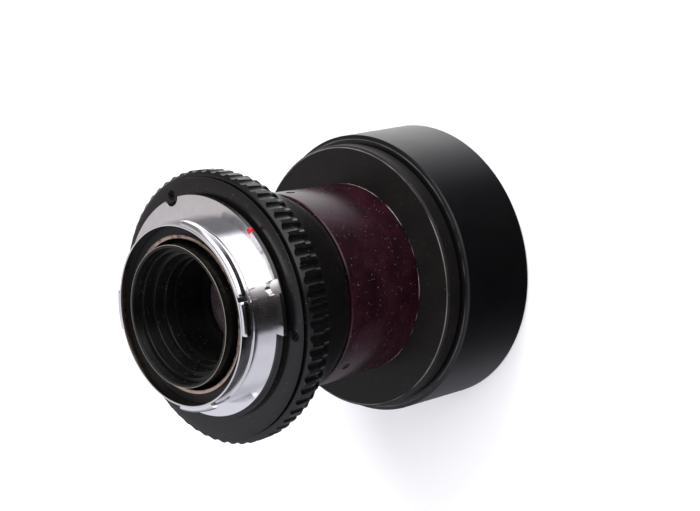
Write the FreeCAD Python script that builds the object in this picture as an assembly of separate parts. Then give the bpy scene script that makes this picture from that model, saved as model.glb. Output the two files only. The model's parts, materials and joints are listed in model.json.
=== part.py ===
import FreeCAD, Part
import math
import os

# Cine lens standing on the front rim of its hood.
# The lens axis is Z, the floor is Z = 0 and the rear mount faces up.
# A depth is a distance forwards from the mount's flange seat, negative behind it.
# A bearing is an angle about Z in degrees, counted from X and seen from behind the lens.

# Fits
SEAT_GAP = 0.02
RUNNING_GAP = 0.05
PASSING_GAP = 0.3

# Focus travel
FOCUS_TRAVEL = 6.0
FOCUS_TURN = 150.0

# Bayonet mount, whose tube radius sets every other radius through named walls and steps
BAYONET_TUBE_RADIUS = 22.08
BAYONET_TUBE_WALL = 0.48
BAYONET_TUBE_LENGTH = 7.5
BAYONET_RIM_EDGE = 0.12
TUBE_BASE_STEP = 0.45
TUBE_BASE_HEIGHT = 3.9
FLANGE_WIDTH = 5.92
FLANGE_THICKNESS = 1.15
FLANGE_EDGE = 0.2
FLANGE_CUT = 2.34
FLANGE_CUT_BEARINGS = (141.0, 255.1)
LUG_HEIGHT = 1.32
LUG_THICKNESS = 1.8
LUG_BEARINGS = ((-81.6, -14.9), (-104.9, -84.6), (166.1, 196.1), (70.6, 95.1))
FLANGE_NOTCH_BEARING = 10.1
FLANGE_NOTCH_DEPTH = 1.86
FLANGE_NOTCH_HALF_WIDTH = 2.7
LOCK_POCKET_BEARING = -80.9
LOCK_POCKET_DEPTH = 4.3
LOCK_POCKET_HALF_WIDTH = 1.7
LOCK_POCKET_SINK = 0.8
INDEX_BEARING = -50.0
INDEX_DOT_RADIUS = 0.48
INDEX_DOT_LENGTH = 0.9
INDEX_DOT_STANDOUT = 0.06

# Rear baffle inside the bayonet tube
BAFFLE_DEPTH = -4.25
BAFFLE_THICKNESS = 1.6
BAFFLE_WIDTH = 3.3
BAFFLE_LIP_WALL = 0.45
BAFFLE_LIP_HEIGHT = 0.95

# Mount ring
MOUNT_RING_DEPTH = 2.4
MOUNT_RING_STEP = 1.3
MOUNT_RING_FLAT = 3.3
MOUNT_RING_SLOPE = 1.83
MOUNT_RING_FALL = 0.4
MOUNT_RING_EDGE = 0.2
MOUNT_HUB_HEIGHT = 1.0
RING_SCREW_COUNT = 3
RING_SCREW_BEARING = 14.6
RING_SCREW_HEAD_RADIUS = 1.25
RING_SCREW_HEAD_HEIGHT = 0.9
RING_SCREW_SHANK_RADIUS = 0.6
RING_SCREW_LENGTH = 2.5
RING_SCREW_SLOT = 0.3
BAYONET_SCREW_COUNT = 4
BAYONET_SCREW_STEP = 1.82
BAYONET_SCREW_BEARING = 33.0
BAYONET_SCREW_HEAD_RADIUS = 1.3
BAYONET_SCREW_HEAD_HEIGHT = 0.9
BAYONET_SCREW_SHANK_RADIUS = 0.7
BAYONET_SCREW_COVER = 0.35

# Bearing that carries the focus ring
BEARING_STEP = 3.4
BEARING_WALL = 1.9
BEARING_REAR_FLANGE_HEIGHT = 3.7
BEARING_REAR_FLANGE = 1.0
BEARING_FRONT_FLANGE_HEIGHT = 2.3
BEARING_FRONT_FLANGE = 1.9
RETAINER_THICKNESS = 1.9
STOP_PIN_RADIUS = 0.5
STOP_PIN_STEP = 1.45
STOP_PIN_BEARING = 75.0
STOP_PIN_REACH = 1.6

# Focus ring
FOCUS_RING_GAP = 0.55
FOCUS_RING_CLEARANCE = 0.4
FOCUS_RING_WALL = 1.5
FLUTE_COUNT = 62
FLUTE_BEARING = -58.9
FLUTE_WIDTH = 2.5
REAR_ROW_STEP = 1.0
REAR_ROW_LENGTH = 4.7
REAR_ROW_CHAMFER = 0.75
REAR_ROW_TAPER = 0.25
REAR_FLUTE_DEPTH = 0.55
FRONT_ROW_STEP = 1.15
FRONT_ROW_LENGTH = 2.75
FRONT_ROW_CHAMFER = 0.35
FRONT_FLUTE_DEPTH = 0.5
CONE_STEP = 1.35
CONE_FRONT_STEP = 0.4
CONE_LENGTH = 14.6
CONE_WALL = 1.7

# Helicoid
SLEEVE_CLEARANCE = 0.6
SLEEVE_WALL = 1.4
KEY_ENGAGEMENT = 2.7
SLEEVE_ENGAGEMENT = 6.0
NUT_WALL = 3.6
NUT_LENGTH = 8.4
NUT_FLANGE_HEIGHT = 2.95
NUT_FLANGE = 1.5
NUT_SCREW_COUNT = 3
NUT_SCREW_BEARING = 44.6
NUT_SCREW_HEAD_RADIUS = 1.0
NUT_SCREW_HEAD_HEIGHT = 0.7
NUT_SCREW_SHANK_RADIUS = 0.6
NUT_SCREW_LENGTH = 4.0
KEY_COUNT = 2
KEY_BEARING = 105.0
KEY_WIDTH = 3.0
KEY_LENGTH = 4.2
KEY_DEPTH = 1.0
KEY_SCREW_HEAD_RADIUS = 1.1
KEY_SCREW_HEAD_HEIGHT = 0.8
KEY_SCREW_SHANK_RADIUS = 0.7
KEY_SCREW_LENGTH = 4.6

# Main barrel
BARREL_GAP = 0.4
BARREL_LENGTH = 24.15
BARREL_WALL = 3.7
BARREL_FALL = 0.6
BARREL_REAR_STRAIGHT = 4.1
BARREL_FRONT_STRAIGHT = 3.05
BARREL_EDGE = 0.3
BARREL_SPIGOT_STEP = 1.6
BARREL_SPIGOT_LENGTH = 6.05
BARREL_BORE_STEP = 2.0
BARREL_SCREW_BEARINGS = (-11.9, 106.0, 217.1)
BARREL_SCREW_RADIUS = 1.1
BARREL_SCREW_INSET = 3.5
BARREL_SCREW_SINK = 0.3
BARREL_SCREW_SLOT = 0.3

# Front plate, with the spigot that carries the hood
PLATE_THICKNESS = 4.22
PLATE_WIDTH = 9.7
PLATE_EDGE = 0.55
HOOD_SPIGOT_STEP = 0.8
HOOD_SPIGOT_WALL = 1.4
HOOD_SPIGOT_LENGTH = 4.0
PLATE_NUT_WIDTH = 4.9
PLATE_NUT_THICKNESS = 1.8

# Hood
HOOD_GROOVE_WIDTH = 0.86
HOOD_LENGTH = 22.77
HOOD_STEP = 2.06
HOOD_WALL = 2.36
HOOD_REAR_EDGE_STEP = 1.07
HOOD_REAR_EDGE = 0.53
HOOD_RIM_ROUND = 0.4
HOOD_THREAD_WALL = 1.26
HOOD_THREAD_LENGTH = 6.0

# Flat seat round every glass element, as wide as the widest ring that holds one
ELEMENT_SEAT = 2.0

# Front cell and its two elements
FRONT_CELL_LENGTH = 12.6
FRONT_CELL_LIP = 2.8
FRONT_CELL_CLEARANCE = 0.6
FRONT_CELL_WALL = 1.5
FRONT_SECOND_EDGE = 2.2
FRONT_SECOND_SAG = 2.4
FRONT_SECOND_HOLLOW = 1.2
FRONT_SPACER_LENGTH = 2.6
FRONT_ELEMENT_EDGE = 2.4
FRONT_ELEMENT_SAG = 1.9
CELL_SPACER_WALL = 1.3
FRONT_RETAINER_WALL = 1.9

# Middle element, in the front end of the barrel
MIDDLE_SEAT_WALL = 1.9
MIDDLE_SEAT_LENGTH = 11.0
MIDDLE_EDGE = 3.0
MIDDLE_SAG = 2.2
MIDDLE_RETAINER_LENGTH = 2.0
MIDDLE_RETAINER_WALL = 1.6

# Fixed aperture stop
STOP_THICKNESS = 0.8
STOP_HOLE_RADIUS = 11.5

# Rear cell and its two elements
REAR_CELL_RIM_DEPTH = -8.0
REAR_CELL_CLEARANCE = 1.1
REAR_CELL_SHOULDER_DEPTH = 6.0
REAR_CELL_FRONT_DEPTH = 22.0
REAR_CELL_WALLS = (0.7, 1.9, 2.9, 4.1)
REAR_CELL_STEP_DEPTHS = (-5.7, -3.0, -0.6, 2.2)
REAR_SEAT_WALL = 4.7
REAR_CELL_LIP_WIDTH = 1.3
REAR_CELL_LIP = 1.0
REAR_INNER_EDGE = 2.0
REAR_INNER_SAG = 1.2
REAR_SPACER_LENGTH = 4.6
REAR_SPACER_WALL = 1.2
REAR_EDGE = 2.2
REAR_SAG = 1.3
REAR_RETAINER_LENGTH = 1.5
REAR_RETAINER_WALL = 1.6

ORIGIN = FreeCAD.Vector(0, 0, 0)
AXIS = FreeCAD.Vector(0, 0, 1)


def height(depth):
    """Height above the floor of a point that lies depth in front of the flange seat."""
    return flange_height - depth


def at(radius, bearing, level):
    """Point from its distance to the lens axis, its bearing and its height."""
    angle = math.radians(bearing)
    return FreeCAD.Vector(radius * math.cos(angle), radius * math.sin(angle), level)


def turned(outline, start=0.0, sweep=360.0):
    """Solid turned about the lens axis from corners given as radius and depth."""
    corners = [FreeCAD.Vector(radius, 0, height(depth)) for radius, depth in outline]
    face = Part.Face(Part.makePolygon(corners + corners[:1]))
    face.rotate(ORIGIN, AXIS, start)
    return face.revolve(ORIGIN, AXIS, sweep)


def ring(inner, outer, rear, front, start=0.0, sweep=360.0):
    """Plain ring, or a sector of one, between two depths."""
    return turned([(inner, rear), (outer, rear), (outer, front), (inner, front)], start, sweep)


def upright(radius, circle, bearing, rear, front):
    """Cylinder parallel to the lens axis."""
    return Part.makeCylinder(radius, front - rear, at(circle, bearing, height(front)), AXIS)


def radial(radius, inner, outer, bearing, depth):
    """Cylinder that points outwards from the lens axis."""
    return Part.makeCylinder(radius, outer - inner, at(inner, bearing, height(depth)), at(1, bearing, 0))


def bar(half_width, inner, outer, bearing, rear, front):
    """Block that points outwards from the lens axis."""
    block = Part.makeBox(outer - inner, 2 * half_width, front - rear,
                         FreeCAD.Vector(inner, -half_width, height(front)))
    block.rotate(ORIGIN, AXIS, bearing)
    return block


def spread(count, first):
    """Bearings of equally spaced copies."""
    return [first + 360.0 / count * index for index in range(count)]


def without(solid, tools):
    """The solid with every tool cut from it."""
    result = solid.cut(tools)
    return result.Solids[0]


def save(node, solids):
    """Writes one node, which holds one solid or several like ones."""
    shape = solids[0] if len(solids) == 1 else Part.makeCompound(solids)
    shape.exportStep("parts/" + node + ".step")


def surface(radius, depth, sag):
    """Half of a spherical glass surface, from its centre at the given depth out to its edge."""
    sphere = (radius ** 2 + sag ** 2) / (2 * abs(sag))
    middle = radius / 2
    fall = math.copysign(sphere - math.sqrt(sphere ** 2 - middle ** 2), sag)
    points = [FreeCAD.Vector(0, 0, height(depth)),
              FreeCAD.Vector(middle, 0, height(depth + fall)),
              FreeCAD.Vector(radius, 0, height(depth + sag))]
    return Part.Arc(*points).toShape(), points[0], points[-1]


def element(radius, rear, edge, rear_sag, front_sag):
    """Glass element with a flat seat round each surface; a positive sag bulges outwards."""
    clear = radius - ELEMENT_SEAT
    rear_arc, rear_centre, rear_edge = surface(clear, rear - rear_sag, rear_sag)
    front_arc, front_centre, front_edge = surface(clear, rear + edge + front_sag, -front_sag)
    rear_rim = FreeCAD.Vector(radius, 0, height(rear))
    front_rim = FreeCAD.Vector(radius, 0, height(rear + edge))
    lines = [
        (rear_edge, rear_rim),
        (rear_rim, front_rim),
        (front_rim, front_edge),
        (front_centre, rear_centre),
    ]
    edges = [Part.LineSegment(start, end).toShape() for start, end in lines]
    wire = Part.Wire(Part.__sortEdges__([rear_arc, front_arc] + edges))
    return Part.Face(wire).revolve(ORIGIN, AXIS, 360)


def fluted(crest, flute, rear, front):
    """Grip with concave flutes between narrow lands, as a prism between two depths."""
    pitch = 360.0 / FLUTE_COUNT
    half = math.degrees(math.asin(FLUTE_WIDTH / 2 / crest))
    level = height(front)
    edges = []
    for bearing in spread(FLUTE_COUNT, FLUTE_BEARING):
        first = at(crest, bearing - half, level)
        floor = at(crest - flute, bearing, level)
        last = at(crest, bearing + half, level)
        land = at(crest, bearing + pitch / 2, level)
        following = at(crest, bearing + pitch - half, level)
        edges.append(Part.Arc(first, floor, last).toShape())
        edges.append(Part.Arc(last, land, following).toShape())
    wire = Part.Wire(Part.__sortEdges__(edges))
    return Part.Face(wire).extrude(FreeCAD.Vector(0, 0, front - rear))


def countersunk(head_radius, head_height, shank_radius, length, circle, bearing, rear, slot):
    """Countersunk screw that points forwards, with a cross cut in its head."""
    head = Part.makeCone(shank_radius, head_radius, head_height,
                         at(circle, bearing, height(rear + head_height)), AXIS)
    shank = upright(shank_radius, circle, bearing, rear + head_height, rear + length)
    screw = head.fuse(shank)
    cross = []
    for turn in (0.0, 90.0):
        arm = Part.makeBox(2 * head_radius - 2 * slot, slot, slot,
                           FreeCAD.Vector(slot - head_radius, -slot / 2, height(rear + slot)))
        arm.rotate(ORIGIN, AXIS, turn)
        arm.translate(at(circle, bearing, 0))
        cross.append(arm)
    return without(screw, cross)


# Radii that follow from the sizes above
tube_bore = BAYONET_TUBE_RADIUS - BAYONET_TUBE_WALL
tube_base_radius = BAYONET_TUBE_RADIUS + TUBE_BASE_STEP
flange_radius = BAYONET_TUBE_RADIUS + FLANGE_WIDTH
flange_cut_radius = flange_radius - FLANGE_CUT
lug_radius = BAYONET_TUBE_RADIUS + LUG_HEIGHT
baffle_lip_radius = tube_bore - BAFFLE_WIDTH
mount_ring_step_radius = flange_radius - MOUNT_RING_STEP
mount_ring_flat_radius = mount_ring_step_radius + MOUNT_RING_FLAT
mount_ring_radius = mount_ring_flat_radius + MOUNT_RING_SLOPE
ring_screw_circle = flange_radius + RING_SCREW_HEAD_RADIUS + RUNNING_GAP
bayonet_screw_circle = BAYONET_TUBE_RADIUS + BAYONET_SCREW_STEP
sleeve_radius = tube_bore - SLEEVE_CLEARANCE
sleeve_bore = sleeve_radius - SLEEVE_WALL
key_inner_radius = sleeve_radius - KEY_DEPTH
bearing_bore = tube_bore + BEARING_STEP
bearing_radius = bearing_bore + BEARING_WALL
bearing_rear_flange_radius = bearing_radius + BEARING_REAR_FLANGE_HEIGHT
bearing_front_flange_radius = bearing_radius + BEARING_FRONT_FLANGE_HEIGHT
thread_radius = bearing_front_flange_radius + RUNNING_GAP + PASSING_GAP
stop_pin_circle = bearing_radius + STOP_PIN_STEP
key_screw_circle = (key_inner_radius + bearing_bore) / 2 + PASSING_GAP
focus_ring_bore = bearing_rear_flange_radius + FOCUS_RING_CLEARANCE
focus_edge_radius = focus_ring_bore + FOCUS_RING_WALL
rear_row_radius = focus_edge_radius + REAR_ROW_STEP
front_row_radius = rear_row_radius - FRONT_ROW_STEP
cone_rear_radius = front_row_radius - CONE_STEP
nut_radius = sleeve_radius + RUNNING_GAP + NUT_WALL
nut_flange_radius = nut_radius + NUT_FLANGE_HEIGHT
nut_screw_circle = (nut_radius + nut_flange_radius) / 2
barrel_rear_radius = sleeve_radius + BARREL_WALL
barrel_front_radius = barrel_rear_radius - BARREL_FALL
barrel_spigot_radius = barrel_front_radius - BARREL_SPIGOT_STEP
barrel_bore_radius = sleeve_radius - BARREL_BORE_STEP
cone_front_radius = barrel_rear_radius - CONE_FRONT_STEP
middle_seat_radius = barrel_spigot_radius - MIDDLE_SEAT_WALL
plate_radius = barrel_front_radius + PLATE_WIDTH
plate_nut_radius = barrel_spigot_radius + PLATE_NUT_WIDTH
hood_spigot_radius = plate_radius - HOOD_SPIGOT_STEP
hood_radius = plate_radius + HOOD_STEP
hood_rear_edge_radius = hood_radius - HOOD_REAR_EDGE_STEP
hood_thread_radius = hood_radius - HOOD_THREAD_WALL
front_cell_radius = hood_spigot_radius - HOOD_SPIGOT_WALL - SEAT_GAP
front_bore = front_cell_radius - FRONT_CELL_WALL
front_cell_lip_radius = plate_nut_radius + FRONT_CELL_CLEARANCE
rear_cell_radius = baffle_lip_radius - REAR_CELL_CLEARANCE
rear_seat_radius = rear_cell_radius - REAR_SEAT_WALL
rear_cell_lip_radius = rear_seat_radius - REAR_CELL_LIP_WIDTH

# Depths that follow from the sizes above
mount_edge_front = MOUNT_RING_DEPTH + MOUNT_RING_FALL + MOUNT_RING_EDGE
hub_front = mount_edge_front + MOUNT_HUB_HEIGHT
focus_rear = mount_edge_front + FOCUS_RING_GAP
bearing_flange_front = hub_front + BEARING_REAR_FLANGE
retainer_rear = bearing_flange_front + PASSING_GAP
retainer_front = retainer_rear + RETAINER_THICKNESS
bearing_lip_rear = retainer_front + PASSING_GAP
bearing_front = bearing_lip_rear + BEARING_FRONT_FLANGE
focus_shoulder = bearing_front + PASSING_GAP
nut_front = focus_shoulder + NUT_LENGTH
rear_row_front = focus_rear + REAR_ROW_LENGTH
front_row_front = rear_row_front + FRONT_ROW_LENGTH
cone_front = front_row_front + CONE_LENGTH
barrel_rear = cone_front + BARREL_GAP
barrel_screw_depth = barrel_rear + BARREL_SCREW_INSET
sleeve_front = barrel_rear + SLEEVE_ENGAGEMENT
stop_front = sleeve_front + STOP_THICKNESS
plate_rear = barrel_rear + BARREL_LENGTH
plate_front = plate_rear + PLATE_THICKNESS
barrel_front = plate_rear + BARREL_SPIGOT_LENGTH
middle_seat_rear = barrel_front - MIDDLE_SEAT_LENGTH
hood_rear = plate_front + HOOD_GROOVE_WIDTH
hood_seat_front = plate_front + HOOD_SPIGOT_LENGTH
front_cell_front = plate_front + FRONT_CELL_LENGTH
flange_height = hood_rear + HOOD_LENGTH
key_front = hub_front + KEY_LENGTH
sleeve_rear = key_front - FOCUS_TRAVEL - KEY_ENGAGEMENT
key_bearings = spread(KEY_COUNT, KEY_BEARING)


def bayonet_mount():
    """Flange and tube in one piece, with four lugs, the lock pocket and the indexing notch."""
    rim = -BAYONET_TUBE_LENGTH
    body = turned([
        (tube_bore, FLANGE_THICKNESS),
        (tube_bore, rim + BAYONET_RIM_EDGE),
        (tube_bore + BAYONET_RIM_EDGE, rim),
        (BAYONET_TUBE_RADIUS - BAYONET_RIM_EDGE, rim),
        (BAYONET_TUBE_RADIUS, rim + BAYONET_RIM_EDGE),
        (BAYONET_TUBE_RADIUS, -TUBE_BASE_HEIGHT),
        (tube_base_radius, -TUBE_BASE_HEIGHT),
        (tube_base_radius, 0),
        (flange_radius - FLANGE_EDGE, 0),
        (flange_radius, FLANGE_EDGE),
        (flange_radius, FLANGE_THICKNESS),
    ])
    lug_front = rim + LUG_THICKNESS
    middle = BAYONET_TUBE_RADIUS - BAYONET_TUBE_WALL / 2
    lugs = []
    for start, stop in LUG_BEARINGS:
        lugs.append(turned([
            (middle, rim + BAYONET_RIM_EDGE),
            (lug_radius - BAYONET_RIM_EDGE, rim + BAYONET_RIM_EDGE),
            (lug_radius, rim + 2 * BAYONET_RIM_EDGE),
            (lug_radius, lug_front),
            (middle, lug_front),
        ], start, stop - start))
    body = body.fuse(lugs).removeSplitter()
    cut_start, cut_stop = FLANGE_CUT_BEARINGS
    beyond = flange_radius + PASSING_GAP
    notch = flange_radius - FLANGE_NOTCH_DEPTH + FLANGE_NOTCH_HALF_WIDTH
    pocket = flange_radius - LOCK_POCKET_DEPTH + LOCK_POCKET_HALF_WIDTH
    below = -PASSING_GAP
    through = FLANGE_THICKNESS + PASSING_GAP
    tools = [
        ring(flange_cut_radius, beyond, below, through, cut_start, cut_stop - cut_start),
        upright(FLANGE_NOTCH_HALF_WIDTH, notch, FLANGE_NOTCH_BEARING, below, through),
        upright(LOCK_POCKET_HALF_WIDTH, pocket, LOCK_POCKET_BEARING, below, LOCK_POCKET_SINK),
        bar(LOCK_POCKET_HALF_WIDTH, pocket, beyond, LOCK_POCKET_BEARING, below, LOCK_POCKET_SINK),
        radial(INDEX_DOT_RADIUS + SEAT_GAP, flange_radius - INDEX_DOT_LENGTH, beyond, INDEX_BEARING,
               FLANGE_THICKNESS / 2),
    ]
    for bearing in spread(BAYONET_SCREW_COUNT, BAYONET_SCREW_BEARING):
        tools.append(upright(BAYONET_SCREW_SHANK_RADIUS + SEAT_GAP, bayonet_screw_circle, bearing,
                             BAYONET_SCREW_COVER, through))
    return without(body, tools)


def index_dot():
    """Painted pin set in the flange's rim."""
    return radial(INDEX_DOT_RADIUS, flange_radius - INDEX_DOT_LENGTH + SEAT_GAP,
                  flange_radius + INDEX_DOT_STANDOUT, INDEX_BEARING, FLANGE_THICKNESS / 2)


def bayonet_screws():
    """Screws that hold the bayonet from the front of the mount ring."""
    screws = []
    head_front = hub_front - SEAT_GAP
    head_rear = head_front - BAYONET_SCREW_HEAD_HEIGHT
    for bearing in spread(BAYONET_SCREW_COUNT, BAYONET_SCREW_BEARING):
        head = upright(BAYONET_SCREW_HEAD_RADIUS, bayonet_screw_circle, bearing, head_rear, head_front)
        shank = upright(BAYONET_SCREW_SHANK_RADIUS, bayonet_screw_circle, bearing,
                        BAYONET_SCREW_COVER + SEAT_GAP, head_rear)
        screws.append(head.fuse(shank))
    return screws


def rear_baffle():
    """Stepped ring in the bayonet tube, with the thin inner lip that shows worn metal."""
    lip = baffle_lip_radius + BAFFLE_LIP_WALL
    return turned([
        (baffle_lip_radius, BAFFLE_DEPTH - BAFFLE_LIP_HEIGHT),
        (lip, BAFFLE_DEPTH - BAFFLE_LIP_HEIGHT),
        (lip, BAFFLE_DEPTH),
        (tube_bore - SEAT_GAP, BAFFLE_DEPTH),
        (tube_bore - SEAT_GAP, BAFFLE_DEPTH + BAFFLE_THICKNESS),
        (baffle_lip_radius, BAFFLE_DEPTH + BAFFLE_THICKNESS),
    ])


def mount_ring():
    """Black ring behind the focus ring, with the boss that the bayonet sits on."""
    body = turned([
        (tube_bore, FLANGE_THICKNESS),
        (mount_ring_step_radius, FLANGE_THICKNESS),
        (mount_ring_step_radius, MOUNT_RING_DEPTH),
        (mount_ring_flat_radius, MOUNT_RING_DEPTH),
        (mount_ring_radius, MOUNT_RING_DEPTH + MOUNT_RING_FALL),
        (mount_ring_radius, mount_edge_front),
        (bearing_rear_flange_radius, mount_edge_front),
        (bearing_rear_flange_radius, hub_front),
        (tube_bore, hub_front),
    ])
    tools = []
    sink_bottom = height(MOUNT_RING_DEPTH + RING_SCREW_HEAD_HEIGHT)
    for bearing in spread(RING_SCREW_COUNT, RING_SCREW_BEARING):
        tools.append(Part.makeCone(RING_SCREW_SHANK_RADIUS + SEAT_GAP, RING_SCREW_HEAD_RADIUS + SEAT_GAP,
                                   RING_SCREW_HEAD_HEIGHT, at(ring_screw_circle, bearing, sink_bottom), AXIS))
        tools.append(upright(RING_SCREW_SHANK_RADIUS + SEAT_GAP, ring_screw_circle, bearing,
                             MOUNT_RING_DEPTH, hub_front))
    for bearing in spread(BAYONET_SCREW_COUNT, BAYONET_SCREW_BEARING):
        tools.append(upright(BAYONET_SCREW_SHANK_RADIUS + SEAT_GAP, bayonet_screw_circle, bearing,
                             FLANGE_THICKNESS, hub_front))
        tools.append(upright(BAYONET_SCREW_HEAD_RADIUS + SEAT_GAP, bayonet_screw_circle, bearing,
                             hub_front - SEAT_GAP - BAYONET_SCREW_HEAD_HEIGHT, hub_front))
    for bearing in key_bearings:
        tools.append(upright(KEY_SCREW_HEAD_RADIUS + SEAT_GAP, key_screw_circle, bearing,
                             FLANGE_THICKNESS, FLANGE_THICKNESS + KEY_SCREW_HEAD_HEIGHT + SEAT_GAP))
        tools.append(upright(KEY_SCREW_SHANK_RADIUS + SEAT_GAP, key_screw_circle, bearing,
                             FLANGE_THICKNESS, hub_front))
    return without(body, tools)


def mount_ring_screws():
    """Cross-head screws in the rear face of the mount ring."""
    return [countersunk(RING_SCREW_HEAD_RADIUS, RING_SCREW_HEAD_HEIGHT, RING_SCREW_SHANK_RADIUS,
                        RING_SCREW_LENGTH, ring_screw_circle, bearing, MOUNT_RING_DEPTH + SEAT_GAP,
                        RING_SCREW_SLOT)
            for bearing in spread(RING_SCREW_COUNT, RING_SCREW_BEARING)]


def bearing_sleeve():
    """Sleeve on the mount ring that the focus ring turns on."""
    body = turned([
        (bearing_bore, hub_front),
        (bearing_rear_flange_radius, hub_front),
        (bearing_rear_flange_radius, bearing_flange_front),
        (bearing_radius, bearing_flange_front),
        (bearing_radius, bearing_lip_rear),
        (bearing_front_flange_radius, bearing_lip_rear),
        (bearing_front_flange_radius, bearing_front),
        (bearing_bore, bearing_front),
    ])
    tools = [upright(RING_SCREW_SHANK_RADIUS + SEAT_GAP, ring_screw_circle, bearing,
                     hub_front, bearing_flange_front)
             for bearing in spread(RING_SCREW_COUNT, RING_SCREW_BEARING)]
    tools.append(upright(STOP_PIN_RADIUS + SEAT_GAP, stop_pin_circle, STOP_PIN_BEARING,
                         hub_front, bearing_flange_front))
    return without(body, tools)


def stop_pin():
    """Pin that ends the turn of the focus ring."""
    return upright(STOP_PIN_RADIUS, stop_pin_circle, STOP_PIN_BEARING, hub_front,
                   bearing_flange_front + STOP_PIN_REACH)


def guide_keys():
    """Keys that let the helicoid sleeve slide without turning."""
    keys = []
    for bearing in key_bearings:
        key = bar(KEY_WIDTH / 2, key_inner_radius, bearing_bore - PASSING_GAP, bearing,
                  hub_front, key_front)
        hole = upright(KEY_SCREW_SHANK_RADIUS + SEAT_GAP, key_screw_circle, bearing,
                       hub_front, FLANGE_THICKNESS + KEY_SCREW_LENGTH)
        keys.append(without(key, [hole]))
    return keys


def guide_key_screws():
    """Screws that hold the guide keys to the mount ring."""
    screws = []
    head_front = FLANGE_THICKNESS + KEY_SCREW_HEAD_HEIGHT
    for bearing in key_bearings:
        head = upright(KEY_SCREW_HEAD_RADIUS, key_screw_circle, bearing,
                       FLANGE_THICKNESS + SEAT_GAP, head_front)
        shank = upright(KEY_SCREW_SHANK_RADIUS, key_screw_circle, bearing, head_front,
                        FLANGE_THICKNESS + KEY_SCREW_LENGTH - SEAT_GAP)
        screws.append(head.fuse(shank))
    return screws


def focus_ring():
    """Grip in two fluted rows and the cone in front of it, in one piece."""
    chamfer_end = focus_rear + REAR_ROW_CHAMFER
    rear_envelope = turned([
        (bearing_radius, focus_rear),
        (focus_edge_radius, focus_rear),
        (rear_row_radius, chamfer_end),
        (rear_row_radius - REAR_ROW_TAPER, rear_row_front),
        (bearing_radius, rear_row_front),
    ])
    front_envelope = turned([
        (bearing_radius, rear_row_front),
        (front_row_radius, rear_row_front),
        (front_row_radius, front_row_front - FRONT_ROW_CHAMFER),
        (front_row_radius - FRONT_ROW_CHAMFER, front_row_front),
        (bearing_radius, front_row_front),
    ])
    rear_row = fluted(rear_row_radius, REAR_FLUTE_DEPTH, focus_rear, rear_row_front)
    rear_row = rear_row.common(rear_envelope)
    front_row = fluted(front_row_radius, FRONT_FLUTE_DEPTH, rear_row_front, front_row_front)
    front_row = front_row.common(front_envelope)
    cone = turned([
        (sleeve_radius, front_row_front),
        (cone_rear_radius, front_row_front),
        (cone_front_radius, cone_front),
        (sleeve_radius, cone_front),
    ])
    core = ring(sleeve_radius, bearing_radius, focus_rear, front_row_front)
    body = rear_row.fuse([front_row, core, cone]).removeSplitter()
    bore = turned([
        (0, focus_rear),
        (focus_ring_bore, focus_rear),
        (focus_ring_bore, retainer_rear),
        (thread_radius, retainer_rear),
        (thread_radius, retainer_front),
        (bearing_front_flange_radius + RUNNING_GAP, retainer_front),
        (bearing_front_flange_radius + RUNNING_GAP, focus_shoulder),
        (nut_flange_radius + SEAT_GAP, focus_shoulder),
        (nut_flange_radius + SEAT_GAP, focus_shoulder + NUT_FLANGE),
        (nut_radius + SEAT_GAP, focus_shoulder + NUT_FLANGE),
        (nut_radius + SEAT_GAP, nut_front),
        (cone_front_radius - CONE_WALL, nut_front),
        (cone_front_radius - CONE_WALL, cone_front),
        (0, cone_front),
    ])
    holes = [upright(NUT_SCREW_SHANK_RADIUS + SEAT_GAP, nut_screw_circle, bearing,
                     focus_shoulder + NUT_FLANGE, focus_shoulder + NUT_SCREW_LENGTH)
             for bearing in spread(NUT_SCREW_COUNT, NUT_SCREW_BEARING)]
    return without(body, [bore] + holes)


def focus_retaining_ring():
    """Ring screwed into the focus ring behind the bearing, with the slot for the stop pin."""
    body = ring(bearing_radius + PASSING_GAP, thread_radius - SEAT_GAP, retainer_rear, retainer_front)
    play = math.degrees((STOP_PIN_RADIUS + PASSING_GAP) / stop_pin_circle)
    slot_half = STOP_PIN_RADIUS + RUNNING_GAP
    slot = ring(stop_pin_circle - slot_half, stop_pin_circle + slot_half, retainer_rear, retainer_front,
                STOP_PIN_BEARING - FOCUS_TURN - play, FOCUS_TURN + 2 * play)
    return without(body, [slot])


def focus_helicoid():
    """Brass nut in the focus ring that drives the helicoid sleeve."""
    bore = sleeve_radius + RUNNING_GAP
    body = turned([
        (bore, focus_shoulder),
        (nut_flange_radius, focus_shoulder),
        (nut_flange_radius, focus_shoulder + NUT_FLANGE),
        (nut_radius, focus_shoulder + NUT_FLANGE),
        (nut_radius, nut_front),
        (bore, nut_front),
    ])
    tools = []
    sink_bottom = height(focus_shoulder + NUT_SCREW_HEAD_HEIGHT)
    for bearing in spread(NUT_SCREW_COUNT, NUT_SCREW_BEARING):
        tools.append(Part.makeCone(NUT_SCREW_SHANK_RADIUS + SEAT_GAP, NUT_SCREW_HEAD_RADIUS + SEAT_GAP,
                                   NUT_SCREW_HEAD_HEIGHT, at(nut_screw_circle, bearing, sink_bottom), AXIS))
        tools.append(upright(NUT_SCREW_SHANK_RADIUS + SEAT_GAP, nut_screw_circle, bearing,
                             focus_shoulder, focus_shoulder + NUT_FLANGE))
    return without(body, tools)


def focus_helicoid_screws():
    """Screws that hold the brass nut in the focus ring."""
    return [countersunk(NUT_SCREW_HEAD_RADIUS, NUT_SCREW_HEAD_HEIGHT, NUT_SCREW_SHANK_RADIUS,
                        NUT_SCREW_LENGTH - SEAT_GAP, nut_screw_circle, bearing,
                        focus_shoulder + SEAT_GAP, RING_SCREW_SLOT)
            for bearing in spread(NUT_SCREW_COUNT, NUT_SCREW_BEARING)]


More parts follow.
